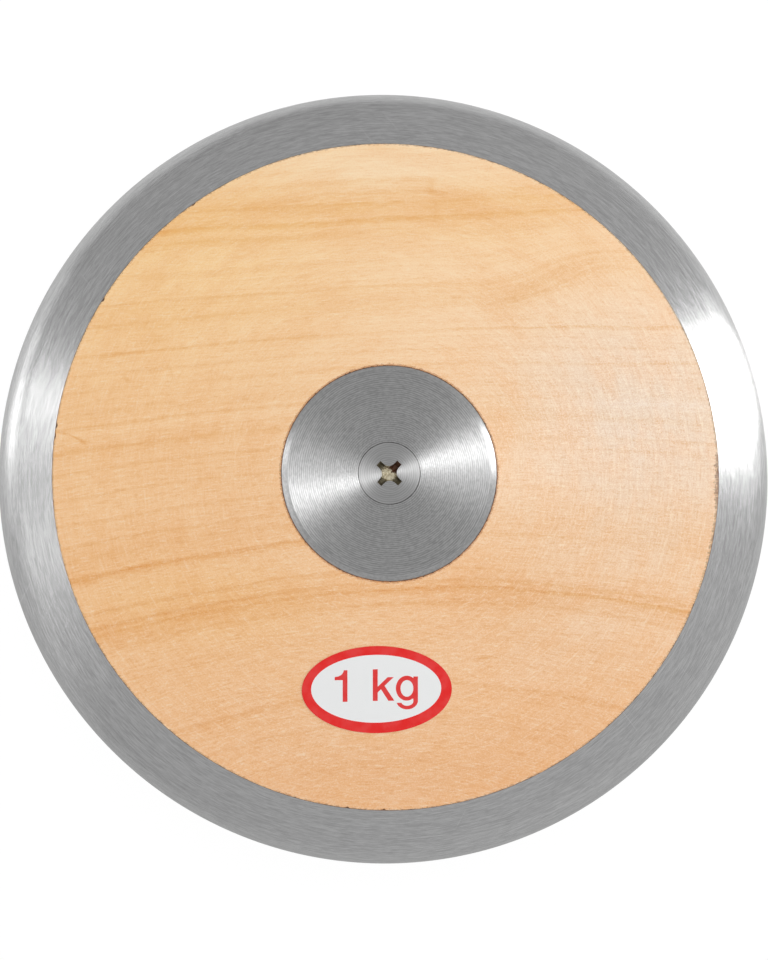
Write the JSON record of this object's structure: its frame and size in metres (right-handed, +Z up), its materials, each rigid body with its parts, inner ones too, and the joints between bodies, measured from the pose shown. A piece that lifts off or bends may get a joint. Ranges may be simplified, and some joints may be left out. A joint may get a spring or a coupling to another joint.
{
  "type": "throwing discus",
  "caption": "Round throwing discus with a steel rim, two wooden sides, countersunk centre plates and an oval weight label, lying flat.",
  "frame": {"origin": "middle of the flat face of the lower centre plate, which the discus lies on", "axes": "+Z up along the axis of the discus, -Y towards the weight label, +X to the right of the label's reading direction"},
  "size_m": [0.1802, 0.1802, 0.0374],
  "materials": {
    "rim_steel": "turned and polished bare steel",
    "plate_steel": "face-turned bare steel",
    "screw_steel": "yellow zinc plate, faced off with the plate",
    "nut_steel": "yellow zinc plate",
    "washer_steel": "plain sheet steel",
    "body_wood": "pale maple under clear satin lacquer",
    "dowel_wood": "plain beech dowel",
    "label": "printed film, red border on white"
  },
  "bodies": {
    "root": {"steel_rim": "rim_steel", "upper_wood_side": "body_wood", "lower_wood_side": "body_wood", "upper_centre_plate": "plate_steel", "lower_centre_plate": "plate_steel", "upper_plate_screw": "screw_steel", "lower_plate_screw": "screw_steel", "sleeve_nut": "nut_steel", "upper_trim_washer_1": "washer_steel", "upper_trim_washer_2": "washer_steel", "lower_trim_washer_1": "washer_steel", "lower_trim_washer_2": "washer_steel", "rim_dowel_1": "dowel_wood", "rim_dowel_2": "dowel_wood", "rim_dowel_3": "dowel_wood", "rim_dowel_4": "dowel_wood", "rim_dowel_5": "dowel_wood", "rim_dowel_6": "dowel_wood", "rim_dowel_7": "dowel_wood", "rim_dowel_8": "dowel_wood", "weight_label": "label"}
  },
  "joints": []
}
